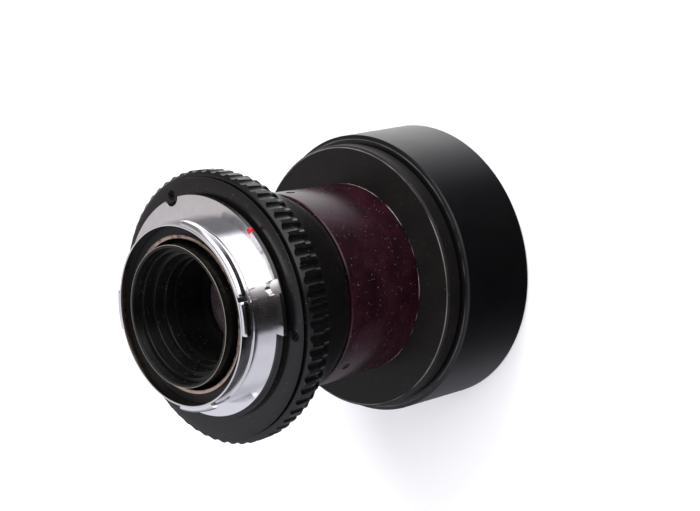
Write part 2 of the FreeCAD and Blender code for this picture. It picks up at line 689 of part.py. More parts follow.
def helicoid_sleeve():
    """Inner sleeve of the helicoid, slotted for the guide keys."""
    body = ring(sleeve_bore, sleeve_radius, sleeve_rear, sleeve_front)
    slots = [bar(KEY_WIDTH / 2 + RUNNING_GAP, key_inner_radius - 2 * PASSING_GAP, sleeve_radius + PASSING_GAP,
                 bearing, sleeve_rear, key_front + PASSING_GAP)
             for bearing in key_bearings]
    return without(body, slots)


def main_barrel():
    """Slim barrel between the focus ring and the front plate."""
    taper_rear = barrel_rear + BARREL_REAR_STRAIGHT
    taper_front = plate_rear - BARREL_FRONT_STRAIGHT
    spigot = barrel_spigot_radius - SEAT_GAP
    body = turned([
        (sleeve_radius + SEAT_GAP, barrel_rear),
        (barrel_rear_radius - BARREL_EDGE, barrel_rear),
        (barrel_rear_radius, barrel_rear + BARREL_EDGE),
        (barrel_rear_radius, taper_rear),
        (barrel_front_radius, taper_front),
        (barrel_front_radius, plate_rear),
        (spigot, plate_rear),
        (spigot, barrel_front),
        (middle_seat_radius, barrel_front),
        (middle_seat_radius, middle_seat_rear),
        (barrel_bore_radius, middle_seat_rear),
        (barrel_bore_radius, stop_front),
        (sleeve_radius + SEAT_GAP, stop_front),
    ])
    holes = [radial(BARREL_SCREW_RADIUS + SEAT_GAP, sleeve_radius - PASSING_GAP,
                    barrel_rear_radius + PASSING_GAP, bearing, barrel_screw_depth)
             for bearing in BARREL_SCREW_BEARINGS]
    return without(body, holes)


def barrel_set_screws():
    """Slotted grub screws that hold the barrel on the helicoid sleeve."""
    screws = []
    top = barrel_rear_radius - BARREL_SCREW_SINK
    for bearing in BARREL_SCREW_BEARINGS:
        screw = radial(BARREL_SCREW_RADIUS, sleeve_radius + RUNNING_GAP, top, bearing, barrel_screw_depth)
        slot = bar(BARREL_SCREW_RADIUS + SEAT_GAP, top - BARREL_SCREW_SLOT, top + SEAT_GAP, bearing,
                   barrel_screw_depth - BARREL_SCREW_SLOT / 2, barrel_screw_depth + BARREL_SCREW_SLOT / 2)
        screws.append(without(screw, [slot]))
    return screws


def front_plate():
    """Disc between barrel and hood, with the spigot that the hood screws onto."""
    spigot_bore = hood_spigot_radius - HOOD_SPIGOT_WALL
    return turned([
        (barrel_spigot_radius, plate_rear),
        (plate_radius - PLATE_EDGE, plate_rear),
        (plate_radius, plate_rear + PLATE_EDGE),
        (plate_radius, plate_front),
        (hood_spigot_radius, plate_front),
        (hood_spigot_radius, hood_seat_front),
        (spigot_bore, hood_seat_front),
        (spigot_bore, plate_front),
        (barrel_spigot_radius, plate_front),
    ])


def plate_nut():
    """Nut on the barrel's spigot that clamps the front plate."""
    return ring(barrel_spigot_radius, plate_nut_radius, plate_front, plate_front + PLATE_NUT_THICKNESS)


def front_hood():
    """Deep cylindrical hood that the lens stands on."""
    bore = hood_radius - HOOD_WALL
    seat = hood_spigot_radius + SEAT_GAP
    return turned([
        (seat, hood_rear),
        (hood_rear_edge_radius, hood_rear),
        (hood_radius, hood_rear + HOOD_REAR_EDGE),
        (hood_radius, flange_height - HOOD_RIM_ROUND),
        (hood_radius - HOOD_RIM_ROUND, flange_height),
        (hood_thread_radius + HOOD_RIM_ROUND, flange_height),
        (hood_thread_radius, flange_height - HOOD_RIM_ROUND),
        (hood_thread_radius, flange_height - HOOD_THREAD_LENGTH),
        (bore, flange_height - HOOD_THREAD_LENGTH),
        (bore, hood_seat_front + SEAT_GAP),
        (seat, hood_seat_front + SEAT_GAP),
    ])


def front_cell():
    """Cup in the plate's spigot that holds the two front elements."""
    return turned([
        (front_cell_lip_radius, plate_front),
        (front_cell_radius, plate_front),
        (front_cell_radius, front_cell_front),
        (front_bore, front_cell_front),
        (front_bore, plate_front + FRONT_CELL_LIP),
        (front_cell_lip_radius, plate_front + FRONT_CELL_LIP),
    ])


def front_group():
    """Second element, spacer, front element and retaining ring, stacked in the front cell."""
    radius = front_bore - SEAT_GAP
    second_rear = plate_front + FRONT_CELL_LIP
    spacer_rear = second_rear + FRONT_SECOND_EDGE
    spacer_front = spacer_rear + FRONT_SPACER_LENGTH
    retainer = spacer_front + FRONT_ELEMENT_EDGE
    return (
        element(radius, second_rear, FRONT_SECOND_EDGE, -FRONT_SECOND_HOLLOW, FRONT_SECOND_SAG),
        ring(radius - CELL_SPACER_WALL, radius, spacer_rear, spacer_front),
        element(radius, spacer_front, FRONT_ELEMENT_EDGE, -FRONT_SECOND_HOLLOW, FRONT_ELEMENT_SAG),
        ring(radius - FRONT_RETAINER_WALL, radius, retainer, front_cell_front),
    )


def middle_group():
    """Middle element and its retaining ring, in the front end of the barrel."""
    radius = middle_seat_radius - SEAT_GAP
    retainer = middle_seat_rear + MIDDLE_EDGE
    return (
        element(radius, middle_seat_rear, MIDDLE_EDGE, MIDDLE_SAG, MIDDLE_SAG),
        ring(radius - MIDDLE_RETAINER_WALL, radius, retainer, retainer + MIDDLE_RETAINER_LENGTH),
    )


def stop_plate():
    """Fixed aperture stop, clamped between sleeve and barrel."""
    return ring(STOP_HOLE_RADIUS, sleeve_radius, sleeve_front, stop_front)


def rear_cell():
    """Rear optical cell with a stepped black mouth."""
    outline = [
        (rear_cell_radius, REAR_CELL_SHOULDER_DEPTH),
        (sleeve_bore - SEAT_GAP, REAR_CELL_SHOULDER_DEPTH),
        (sleeve_bore - SEAT_GAP, REAR_CELL_FRONT_DEPTH),
        (rear_cell_lip_radius, REAR_CELL_FRONT_DEPTH),
        (rear_cell_lip_radius, REAR_CELL_FRONT_DEPTH - REAR_CELL_LIP),
        (rear_seat_radius, REAR_CELL_FRONT_DEPTH - REAR_CELL_LIP),
    ]
    inner = rear_seat_radius
    for wall, depth in zip(reversed(REAR_CELL_WALLS), reversed(REAR_CELL_STEP_DEPTHS)):
        radius = rear_cell_radius - wall
        outline += [(inner, depth), (radius, depth)]
        inner = radius
    outline += [(inner, REAR_CELL_RIM_DEPTH), (rear_cell_radius, REAR_CELL_RIM_DEPTH)]
    return turned(outline)


def rear_group():
    """Inner element, spacer, rear element and retaining ring, stacked in the rear cell."""
    radius = rear_seat_radius - SEAT_GAP
    inner_rear = REAR_CELL_FRONT_DEPTH - REAR_CELL_LIP - REAR_INNER_EDGE
    spacer_rear = inner_rear - REAR_SPACER_LENGTH
    rear = spacer_rear - REAR_EDGE
    return (
        element(radius, inner_rear, REAR_INNER_EDGE, REAR_INNER_SAG, -REAR_INNER_SAG),
        ring(radius - REAR_SPACER_WALL, radius, spacer_rear, inner_rear),
        element(radius, rear, REAR_EDGE, REAR_SAG, REAR_SAG),
        ring(radius - REAR_RETAINER_WALL, radius, rear - REAR_RETAINER_LENGTH, rear),
    )


os.makedirs("parts", exist_ok=True)

save("bayonet_mount", [bayonet_mount()])
save("index_dot", [index_dot()])
save("bayonet_screws", bayonet_screws())
save("rear_baffle", [rear_baffle()])
save("mount_ring", [mount_ring()])
save("mount_ring_screws", mount_ring_screws())
save("bearing_sleeve", [bearing_sleeve()])
save("stop_pin", [stop_pin()])
save("guide_keys", guide_keys())
save("guide_key_screws", guide_key_screws())
save("focus_ring", [focus_ring()])
save("focus_retaining_ring", [focus_retaining_ring()])
save("focus_helicoid", [focus_helicoid()])
save("focus_helicoid_screws", focus_helicoid_screws())
save("helicoid_sleeve", [helicoid_sleeve()])
save("main_barrel", [main_barrel()])
save("barrel_set_screws", barrel_set_screws())
save("front_plate", [front_plate()])
save("plate_nut", [plate_nut()])
save("front_hood", [front_hood()])
save("front_cell", [front_cell()])
front_names = ("second_element", "front_spacer", "front_element", "front_retaining_ring")
for node, solid in zip(front_names, front_group()):
    save(node, [solid])
for node, solid in zip(("middle_element", "middle_retaining_ring"), middle_group()):
    save(node, [solid])
save("stop_plate", [stop_plate()])
save("rear_cell", [rear_cell()])
rear_names = ("rear_inner_element", "rear_spacer", "rear_element", "rear_retaining_ring")
for node, solid in zip(rear_names, rear_group()):
    save(node, [solid])
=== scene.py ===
import json
import math

import bmesh
import bpy
from mathutils import Matrix, Vector


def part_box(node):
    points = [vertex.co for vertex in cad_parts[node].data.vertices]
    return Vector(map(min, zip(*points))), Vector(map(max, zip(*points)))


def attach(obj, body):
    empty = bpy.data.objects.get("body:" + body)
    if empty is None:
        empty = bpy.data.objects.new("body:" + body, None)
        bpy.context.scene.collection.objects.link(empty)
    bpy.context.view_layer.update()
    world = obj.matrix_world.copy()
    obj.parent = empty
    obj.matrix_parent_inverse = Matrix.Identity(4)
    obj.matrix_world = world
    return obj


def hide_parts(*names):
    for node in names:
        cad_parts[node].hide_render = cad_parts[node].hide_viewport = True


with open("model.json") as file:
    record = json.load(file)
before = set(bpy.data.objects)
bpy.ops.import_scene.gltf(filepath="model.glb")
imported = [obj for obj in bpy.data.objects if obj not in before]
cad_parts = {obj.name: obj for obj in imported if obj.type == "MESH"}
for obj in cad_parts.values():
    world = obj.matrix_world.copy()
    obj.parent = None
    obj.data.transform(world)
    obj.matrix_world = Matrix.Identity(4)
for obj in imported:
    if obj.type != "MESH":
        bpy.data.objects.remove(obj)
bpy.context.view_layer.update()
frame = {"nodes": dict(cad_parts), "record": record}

# Cine lens seen from behind, standing on the front rim of its hood.
# The lens axis is Z and the rear mount faces up. Lengths are in metres, written in millimetres.
MM = 0.001

# View of the photograph
CAMERA_AIM = (5.34 * MM, 0.45 * MM, 26.36 * MM)
CAMERA_DISTANCE = 530.6 * MM
CAMERA_AZIMUTH = 4.79
CAMERA_ELEVATION = 43.9
CAMERA_ROLL = -102.43
CAMERA_LENS = 106.52

# Studio
FLOOR_SIZE = 4.0
FLOOR_GLOW = 0.14
KEY_POWER = 4.5
FILL_POWER = 2.0
LAMP_SIZE = (0.5, 0.4)
KEY_PLACE = (0.55, -0.05, 0.25)
FILL_PLACE = (-0.5, -0.1, 0.3)
LAMP_AIM = (0, 0, 40 * MM)

# Plain surfaces round the lens that show in its metal: colour and strength, estimated from how bright
# the flange's sectors look in the photo, and merged into a few
TENT = ("#ffffff", 2.2)
LIT_SHEET = ("#ffffff", 1.6)
SHEET = ("#ffffff", 1.0)
TABLE = ("#e8e9f2", 1.0)
TABLE_SHADE = ("#cbccd6", 1.0)
TABLE_EDGE = ("#9c9ca4", 1.0)
WALL = ("#c0b9b8", 1.0)
CARD = ("#808084", 1.0)
SHADE = ("#6e6e74", 1.0)
DIM = ("#494749", 1.0)
DARK = ("#201e1e", 1.0)
FOOT = ("#101010", 1.0)
BLACK = ("#080808", 1.0)
# Where they stand, by bearing in degrees, above the horizon and below it; the first is also the last
ABOVE = (
    (180, TABLE), (-150, TABLE), (-131, TABLE_SHADE), (-125, DIM), (-114, DARK), (-97, DARK), (-86, DIM),
    (-77, WALL), (-65, TENT), (1, TENT), (8, TABLE), (13, CARD), (51, CARD), (72, WALL), (92, WALL),
    (96, TABLE), (130, TABLE_SHADE), (147, TABLE_SHADE), (160, TABLE),
)
BELOW = (
    (180, SHADE), (-140, BLACK), (-85, BLACK), (-31, DIM), (-7, TABLE_SHADE), (29, LIT_SHEET),
    (92, SHEET), (98, SHADE), (161, TABLE_EDGE),
)
# Height at which one hands over to the other, and depth at which the lower ones give way to the foot
HORIZON = (-0.1, 0.15)
DEPTH = (-0.95, -0.78)

# Modelling
ROUND_STEPS = 192
PEG_STEPS = 48
EDGE = 0.1 * MM
FINE_EDGE = 0.05 * MM
RING_EDGE = 0.08 * MM
CORE_EDGE = 0.07 * MM
BARREL_SOFT_EDGE = 0.06 * MM
THREAD_EDGE = 0.03 * MM
FIT = 0.02 * MM
SHARP = math.radians(28)
SMOOTH = math.radians(40)
WELD = 1e-6

# Sockets of the colour form of the Mix node
FACTOR, FIRST, SECOND, MIXED = 0, 6, 7, 2

# Bayonet mount
TUBE_RADIUS = 22.08 * MM
TUBE_BORE = 21.6 * MM
TUBE_BASE_RADIUS = 22.53 * MM
TUBE_BASE_HEIGHT = 3.9 * MM
FLANGE_THICKNESS = 1.15 * MM
FLANGE_CUT_RADIUS = 25.66 * MM
FLANGE_CUT_BEARINGS = (141.0, 255.1)
LUG_RADIUS = 23.4 * MM
LUG_THICKNESS = 1.8 * MM
LUG_LEAN = 0.15 * MM
LUG_BEVEL = 0.5 * MM
LUG_BEARINGS = ((-81.6, -14.9), (-104.9, -84.6), (166.1, 196.1), (70.6, 95.1))
NOTCH_BEARING = 10.1
NOTCH_RADIUS = 26.14 * MM
NOTCH_HALF_WIDTH = 2.7 * MM
POCKET_BEARING = -80.9
POCKET_RADIUS = 23.7 * MM
POCKET_HALF_WIDTH = 1.7 * MM
POCKET_SINK = 0.8 * MM
INDEX_BEARING = -50.0
INDEX_CIRCLE = 27.62 * MM
INDEX_RADIUS = 0.7 * MM
INDEX_SINK = 0.25 * MM
INDEX_PAINT = 0.78 * MM

# Rear baffle
BAFFLE_LIP_WALL = 0.9 * MM
BAFFLE_LIP_HEIGHT = 0.95 * MM
BAFFLE_LIP_RADIUS = 18.3 * MM

# Mount ring
MOUNT_RING_DEPTH = 2.4 * MM
MOUNT_STEP_RADIUS = 26.7 * MM
MOUNT_FLAT_RADIUS = 30.0 * MM
MOUNT_RING_FALL = 0.4 * MM
MOUNT_RING_EDGE = 0.2 * MM
MOUNT_HUB_RADIUS = 30.6 * MM
RING_SCREW_CIRCLE = 29.3 * MM
RING_SCREW_BEARINGS = (14.6, 134.6, 254.6)
RING_SCREW_RADIUS = 1.25 * MM
RING_SCREW_SINK = 0.8 * MM
RING_SCREW_HEIGHT = 0.9 * MM
CROSS_LENGTH = 1.9 * MM
CROSS_WIDTH = 0.36 * MM

# Focus ring
FLUTE_COUNT = 62
FLUTE_BEARING = -58.9
FLUTE_WIDTH = 2.5 * MM
FOCUS_EDGE_RADIUS = 32.5 * MM
FOCUS_BORE = 31.0 * MM
REAR_FLUTE_DEPTH = 0.55 * MM
REAR_ROW_LENGTH = 4.7 * MM
REAR_CHAMFER = 0.75 * MM
REAR_TAPER = 0.25 * MM
FRONT_ROW_RADIUS = 32.35 * MM
FRONT_FLUTE_DEPTH = 0.5 * MM
FRONT_ROW_LENGTH = 2.75 * MM
FRONT_CHAMFER = 0.35 * MM
ROW_OVERLAP = 0.2 * MM
CONE_REAR_RADIUS = 31.0 * MM
CONE_FRONT_RADIUS = 24.3 * MM
RETAINER_BORE = 29.55 * MM
NUT_FLANGE_BORE = 27.62 * MM
NUT_BORE = 24.67 * MM
CONE_BORE = 22.6 * MM
CORE_WALL = 0.6 * MM
CORE_OVERLAP = 0.4 * MM
RETAINER_DEPTH = 1.75 * MM
NUT_SEAT = 8.4 * MM
NUT_FLANGE_FRONT = 0.7 * MM
NUT_FLANGE_REAR = 2.2 * MM

# Barrel, plate and hood
BARREL_EDGE = 0.3 * MM
BARREL_FRONT_RADIUS = 24.1 * MM
BARREL_STRAIGHT = 4.1 * MM
BARREL_TAPER = 17.0 * MM
BARREL_SPIGOT_RADIUS = 22.48 * MM
BARREL_SPIGOT_LENGTH = 6.05 * MM
BARREL_BORE = 21.02 * MM
BARREL_SEAT_LENGTH = 11.0 * MM
BARREL_SCREW_BEARINGS = (-11.9, 106.0, 217.1)
BARREL_SCREW_INSET = 3.5 * MM
BARREL_SCREW_RADIUS = 1.12 * MM
BARREL_HOLE_DEPTH = 1.0 * MM
BARREL_BORE_STEP = 0.4 * MM
GRUB_SINK = 0.14 * MM
GRUB_CLEARANCE = 0.1 * MM
GRUB_EDGE = 0.15 * MM
GRUB_SLOT_WIDTH = 0.34 * MM
GRUB_SLOT_DEPTH = 0.6 * MM
PLATE_THICKNESS = 4.22 * MM
PLATE_EDGE = 0.55 * MM
SPIGOT_RADIUS = 33.0 * MM
SPIGOT_BORE = 31.6 * MM
HOOD_REAR_STEP = 1.07 * MM
HOOD_REAR_EDGE = 0.53 * MM
HOOD_BORE = 33.5 * MM
HOOD_SEAT_LENGTH = 3.12 * MM
HOOD_THREAD_RADIUS = 34.6 * MM
HOOD_THREAD_LENGTH = 6.0 * MM
HOOD_ROUND = 0.4 * MM

# Rear cell
CELL_STEPS = ((16.5, 2.3), (15.3, 2.7), (14.3, 2.4), (13.1, 2.8))
CELL_RADIUS = 17.2 * MM
CELL_SHOULDER = 14.0 * MM
CELL_BORE = 12.5 * MM
THREAD_PITCH = 0.5 * MM
THREAD_HEIGHT = 0.13 * MM

# Surface patterns; grain, grit and turning rings are drawn coarser than they are, or they would not show.
# The grit's size is a share of its spacing.
GRAIN = 0.25 * MM
GRAIN_HEIGHT = 0.0015 * MM
SMEAR = 6 * MM
UNEVEN = 0.02
GRIT_SPACING = 0.55 * MM
GRIT_SIZE = 0.16
TURNING = 2.4 * MM
PLATE_HAZE = 3 * MM
GLASS_HAZE = 2 * MM
PAINT_EDGE = 0.04 * MM

# Wear, painted highlight lines and the pale line at the barrel's foot: width of their lines and size of their
# patches
WEAR_AND_HIGHLIGHT_LINE = 0.16 * MM
SOFT_LINE = 0.1 * MM
RIM_LINE = 0.12 * MM
FOOT_LINE = 0.28 * MM
HIGHLIGHT_PATCH = 9 * MM
FOOT_PATCH = 7 * MM
LIP_PATCH = 2.5 * MM

record = frame["record"]
SLOT = {part["node"]: part["material_slot"] for part in record["subparts"]}
BODY = {node: body for body, nodes in record["behaviour"]["bodies"].items() for node in nodes}
SEAT = next(mount["pos_m"][2] for mount in record["mounts"] if mount["name"] == "bayonet_flange")
ORIGIN = Vector((0, 0, 0))
AXIS = Vector((0, 0, 1))


def at(radius, bearing, level):
    """Point from its distance to the lens axis, its bearing in degrees and its height."""
    angle = math.radians(bearing)
    return Vector((radius * math.cos(angle), radius * math.sin(angle), level))


def ends(node):
    """Outer radius, rear level and front level of a round node."""
    low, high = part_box(node)
    return max(high[0], high[1], -low[0], -low[1]), high[2], low[2]


def linear(code):
    """Linear colour of an sRGB hex code."""
    parts = [int(code[place:place + 2], 16) / 255 for place in (1, 3, 5)]
    return [part / 12.92 if part <= 0.04045 else ((part + 0.055) / 1.055) ** 2.4 for part in parts] + [1.0]


def add(tree, kind, inputs=(), **settings):
    """Adds a shader node, sets its fields and gives its sockets values or links."""
    made = tree.nodes.new(kind)
    for field, value in settings.items():
        setattr(made, field, value)
    for socket, value in dict(inputs).items():
        if isinstance(value, bpy.types.NodeSocket):
            tree.links.new(value, made.inputs[socket])
        else:
            made.inputs[socket].default_value = value
    return made


# Materials

def started(name):
    """New material with its node tree and object coordinates."""
    material = bpy.data.materials.new(name)
    material.use_nodes = True
    tree = material.node_tree
    tree.nodes.clear()
    return material, tree, add(tree, "ShaderNodeTexCoord").outputs["Object"]


def finished(tree, **sockets):
    """Shader with its constants and links, joined to the material's output."""
    named = {name.replace("_", " "): value for name, value in sockets.items()}
    shader = add(tree, "ShaderNodeBsdfPrincipled", named)
    add(tree, "ShaderNodeOutputMaterial", {"Surface": shader.outputs[0]})


def dusted(tree, place, share):
    """Settled dust: small separate grains, each near the middle of its own cell."""
    cells = add(tree, "ShaderNodeTexVoronoi", {"Vector": place, "Scale": 1 / GRIT_SPACING})
    grain = add(tree, "ShaderNodeMapRange", {"Value": cells.outputs["Distance"], "From Min": GRIT_SIZE,
                                             "From Max": GRIT_SIZE / 2})
    choice = add(tree, "ShaderNodeSeparateColor", {0: cells.outputs["Color"]})
    chosen = add(tree, "ShaderNodeMapRange", {"Value": choice.outputs[0], "From Min": share + 0.02,
                                              "From Max": share})
    return add(tree, "ShaderNodeMath", {0: grain.outputs[0], 1: chosen.outputs[0]},
               operation="MULTIPLY").outputs[0]


def spread_radius(tree, place):
    """Distance of a point from the lens axis."""
    flat = add(tree, "ShaderNodeVectorMath", {0: place, 1: (1, 1, 0)}, operation="MULTIPLY")
    return add(tree, "ShaderNodeVectorMath", {0: flat.outputs[0]}, operation="LENGTH").outputs["Value"]


def anodised(name, dark, light, roughness, dust, share, wear_and_highlight=None, ior=1.45):
    """Dyed anodised aluminium: a dark skin with a fine grain, faint smears and settled dust.

    The wear and painted highlight lines, where there are any, come from a function that gives the share of
    another colour and that colour.
    """
    material, tree, place = started(name)
    smears = add(tree, "ShaderNodeTexNoise", {"Vector": place, "Scale": 1 / SMEAR,
                                              "Detail": 4.0}).outputs["Fac"]
    blend = add(tree, "ShaderNodeMapRange", {"Value": smears, "From Min": 0.35, "From Max": 0.7})
    tint = add(tree, "ShaderNodeMix", {FACTOR: blend.outputs[0], FIRST: linear(dark), SECOND: linear(light)},
               data_type="RGBA")
    grains = dusted(tree, place, share)
    colour = add(tree, "ShaderNodeMix", {FACTOR: grains, FIRST: tint.outputs[MIXED], SECOND: linear(dust)},
                 data_type="RGBA").outputs[MIXED]
    if wear_and_highlight:
        amount, wear_and_highlight_colour = wear_and_highlight(tree, place)
        colour = add(tree, "ShaderNodeMix", {FACTOR: amount, FIRST: colour, SECOND: linear(wear_and_highlight_colour)},
                     data_type="RGBA").outputs[MIXED]
    gloss = add(tree, "ShaderNodeMapRange", {"Value": smears, "From Min": 0.3, "From Max": 0.7,
                                             "To Min": roughness - UNEVEN, "To Max": roughness + UNEVEN})
    grit = add(tree, "ShaderNodeTexNoise", {"Vector": place, "Scale": 1 / GRAIN, "Detail": 1.0})
    bump = add(tree, "ShaderNodeBump", {"Height": grit.outputs["Fac"], "Distance": GRAIN_HEIGHT})
    finished(tree, Base_Color=colour, Roughness=gloss.outputs[0], Normal=bump.outputs[0], IOR=ior)
    return material


def painted_edge_highlight(radius, wear_and_highlight_colour):
    """Painted highlight line along a round edge of the given radius, standing in for the light that the edge
    catches.
    """

    def wear_and_highlight(tree, place):
        """Share of a thin patchy painted highlight line, and its colour."""
        off = add(tree, "ShaderNodeMath", {0: spread_radius(tree, place), 1: radius}, operation="SUBTRACT")
        size = add(tree, "ShaderNodeMath", {0: off.outputs[0]}, operation="ABSOLUTE")
        edge = add(tree, "ShaderNodeMapRange", {"Value": size.outputs[0], "From Min": WEAR_AND_HIGHLIGHT_LINE,
                                                "From Max": WEAR_AND_HIGHLIGHT_LINE - SOFT_LINE})
        patches = add(tree, "ShaderNodeTexNoise", {"Vector": place, "Scale": 1 / HIGHLIGHT_PATCH, "Detail": 2.0})
        patch = add(tree, "ShaderNodeMapRange", {"Value": patches.outputs["Fac"], "From Min": 0.35,
                                                 "From Max": 0.65})
        return add(tree, "ShaderNodeMath", {0: edge.outputs[0], 1: patch.outputs[0]},
                   operation="MULTIPLY").outputs[0], wear_and_highlight_colour

    return wear_and_highlight


def satin_black():
    """Satin black anodising of the focus and mount rings: soft narrow highlights, a little dust."""
    return anodised("satin_black_anodising", "#09090a", "#0e0d0e", 0.25, "#7d7a76", 0.10)


def plum_black():
    """Black dye that has faded to plum, as old anodising does, with dust that shows as light dots."""
    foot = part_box("front_plate")[1][2]

    def wear_and_highlight(tree, place):
        """Share of a pale patchy line round the barrel's foot, next to the plate, and its colour."""
        level = add(tree, "ShaderNodeSeparateXYZ", {0: place}).outputs["Z"]
        corner = add(tree, "ShaderNodeMapRange", {"Value": level, "From Min": foot + FOOT_LINE,
                                                  "From Max": foot + FOOT_LINE / 2})
        patches = add(tree, "ShaderNodeTexNoise", {"Vector": place, "Scale": 1 / FOOT_PATCH, "Detail": 2.0})
        patch = add(tree, "ShaderNodeMapRange", {"Value": patches.outputs["Fac"], "From Min": 0.42,
                                                 "From Max": 0.6})
        return add(tree, "ShaderNodeMath", {0: corner.outputs[0], 1: patch.outputs[0]},
                   operation="MULTIPLY").outputs[0], "#b9b2ae"

    return anodised("plum_faded_anodising", "#18060c", "#290b17", 0.27, "#a8989a", 0.25, wear_and_highlight)


def plate_black():
    """Duller anodising of the wide plate, with a painted highlight line along its rear edge."""
    # Painted highlight: a light patchy line where the plate's rear edge would catch the light
    wear_and_highlight = painted_edge_highlight(ends("front_plate")[0] - PLATE_EDGE, "#6d6866")
    return anodised("dull_black_anodising", "#131111", "#181515", 0.42, "#6f6c69", 0.08, wear_and_highlight,
                    ior=1.3)


def hood_black():
    """Fine satin black of the hood, almost free of dust, with a painted highlight line along its rear edge.
    """
    # Painted highlight: a light patchy line where the hood's rear edge would catch the light
    wear_and_highlight = painted_edge_highlight(ends("front_hood")[0] - HOOD_REAR_STEP, "#5f5c5c")
    return anodised("hood_black_anodising", "#09090b", "#0b0b0d", 0.30, "#5d5b5b", 0.03, wear_and_highlight)


def cell_black():
    """Deep black of the optical cells, dusty on its steps and worn to bare metal at the outermost edge."""
    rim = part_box("rear_cell")[1][2]

    def wear_and_highlight(tree, place):
        """Share of bare metal at the rear rim, and its colour."""
        level = add(tree, "ShaderNodeSeparateXYZ", {0: place}).outputs["Z"]
        top = add(tree, "ShaderNodeMapRange", {"Value": level, "From Min": rim - RIM_LINE,
                                               "From Max": rim - RIM_LINE / 3})
        edge = add(tree, "ShaderNodeMapRange", {"Value": spread_radius(tree, place),
                                                "From Min": CELL_RADIUS - WEAR_AND_HIGHLIGHT_LINE,
                                                "From Max": CELL_RADIUS - WEAR_AND_HIGHLIGHT_LINE + SOFT_LINE})
        return add(tree, "ShaderNodeMath", {0: top.outputs[0], 1: edge.outputs[0]},
                   operation="MULTIPLY").outputs[0], "#8f8a82"

    return anodised("deep_black_anodising", "#0a0a0a", "#10100f", 0.28, "#8b857c", 0.25, wear_and_highlight,
                    ior=1.36)


def plated_chrome():
    """Chrome plate over fine turning marks, which draw its reflections out across them.

    The plate is duller inside the tube, and the red of the index mark has run a little over it.
    """
    material, tree, place = started("polished_chrome")
    haze = add(tree, "ShaderNodeTexNoise", {"Vector": place, "Scale": 1 / PLATE_HAZE,
                                            "Detail": 4.0}).outputs["Fac"]
    plate = add(tree, "ShaderNodeMix", {FACTOR: haze, FIRST: linear("#e6e5e7"), SECOND: linear("#f1f0f2")},
                data_type="RGBA")
    inside = add(tree, "ShaderNodeMapRange", {"Value": spread_radius(tree, place),
                                              "From Min": TUBE_BORE + 0.04 * MM,
                                              "From Max": TUBE_BORE + 0.02 * MM}).outputs[0]
    colour = add(tree, "ShaderNodeMix", {FACTOR: inside, FIRST: plate.outputs[MIXED],
                                         SECOND: linear("#9c9896")}, data_type="RGBA")
    mark = at(INDEX_CIRCLE, INDEX_BEARING, SEAT - INDEX_SINK)
    away = add(tree, "ShaderNodeVectorMath", {0: place, 1: mark}, operation="DISTANCE").outputs["Value"]
    paint = add(tree, "ShaderNodeMapRange", {"Value": away, "From Min": INDEX_PAINT,
                                             "From Max": INDEX_PAINT - PAINT_EDGE}).outputs[0]
    marked = add(tree, "ShaderNodeMix", {FACTOR: paint, FIRST: colour.outputs[MIXED],
                                         SECOND: linear("#c4081f")}, data_type="RGBA")
    metal = add(tree, "ShaderNodeMath", {0: 1.0, 1: paint}, operation="SUBTRACT")
    gloss = add(tree, "ShaderNodeMapRange", {"Value": haze, "From Min": 0.3, "From Max": 0.7, "To Min": 0.09,
                                             "To Max": 0.13})
    along = add(tree, "ShaderNodeVectorMath", {0: place, 1: AXIS}, operation="CROSS_PRODUCT")
    finished(tree, Base_Color=marked.outputs[MIXED], Metallic=metal.outputs[0], Roughness=gloss.outputs[0],
             Anisotropic=0.9, Anisotropic_Rotation=0.25, Tangent=along.outputs[0])
    return material


def red_enamel():
    """Red enamel in the index mark: glossy, slightly uneven."""
    material, tree, place = started("red_enamel")
    uneven = add(tree, "ShaderNodeTexNoise", {"Vector": place, "Scale": 1 / (0.3 * MM)})
    colour = add(tree, "ShaderNodeMix", {FACTOR: uneven.outputs["Fac"], FIRST: linear("#b3071c"),
                                         SECOND: linear("#d40a26")}, data_type="RGBA")
    finished(tree, Base_Color=colour.outputs[MIXED], Roughness=0.25)
    return material


def blackened_brass():
    """Blackened brass, rubbed in patches to a pale copper colour on its raised lip."""
    material, tree, place = started("blackened_brass")
    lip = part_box("rear_baffle")[1][2]
    level = add(tree, "ShaderNodeSeparateXYZ", {0: place}).outputs["Z"]
    raised = add(tree, "ShaderNodeMapRange", {"Value": level, "From Min": lip - BAFFLE_LIP_HEIGHT,
                                              "From Max": lip - BAFFLE_LIP_HEIGHT + 0.2 * MM})
    patches = add(tree, "ShaderNodeTexNoise", {"Vector": place, "Scale": 1 / LIP_PATCH, "Detail": 3.0})
    patch = add(tree, "ShaderNodeMapRange", {"Value": patches.outputs["Fac"], "From Min": 0.3,
                                             "From Max": 0.5})
    copper = add(tree, "ShaderNodeMath", {0: raised.outputs[0], 1: patch.outputs[0]},
                 operation="MULTIPLY").outputs[0]
    colour = add(tree, "ShaderNodeMix", {FACTOR: copper, FIRST: linear("#12100f"), SECOND: linear("#c4ad9e")},
                 data_type="RGBA")
    gloss = add(tree, "ShaderNodeMapRange", {"Value": copper, "To Min": 0.5, "To Max": 0.3})
    finished(tree, Base_Color=colour.outputs[MIXED], Metallic=copper, Roughness=gloss.outputs[0])
    return material


def bare_metal(name, dark, light, roughness):
    """Turned bare metal with fine rings left by the tool, drawn coarse enough to show."""
    material, tree, place = started(name)
    rings = add(tree, "ShaderNodeTexWave", {"Vector": place, "Scale": 1 / TURNING, "Distortion": 0.5},
                wave_type="BANDS", bands_direction="Z").outputs["Fac"]
    colour = add(tree, "ShaderNodeMix", {FACTOR: rings, FIRST: linear(dark), SECOND: linear(light)},
                 data_type="RGBA")
    gloss = add(tree, "ShaderNodeMapRange", {"Value": rings, "To Min": roughness - 0.05,
                                             "To Max": roughness + 0.05})
    finished(tree, Base_Color=colour.outputs[MIXED], Metallic=1.0, Roughness=gloss.outputs[0])
    return material


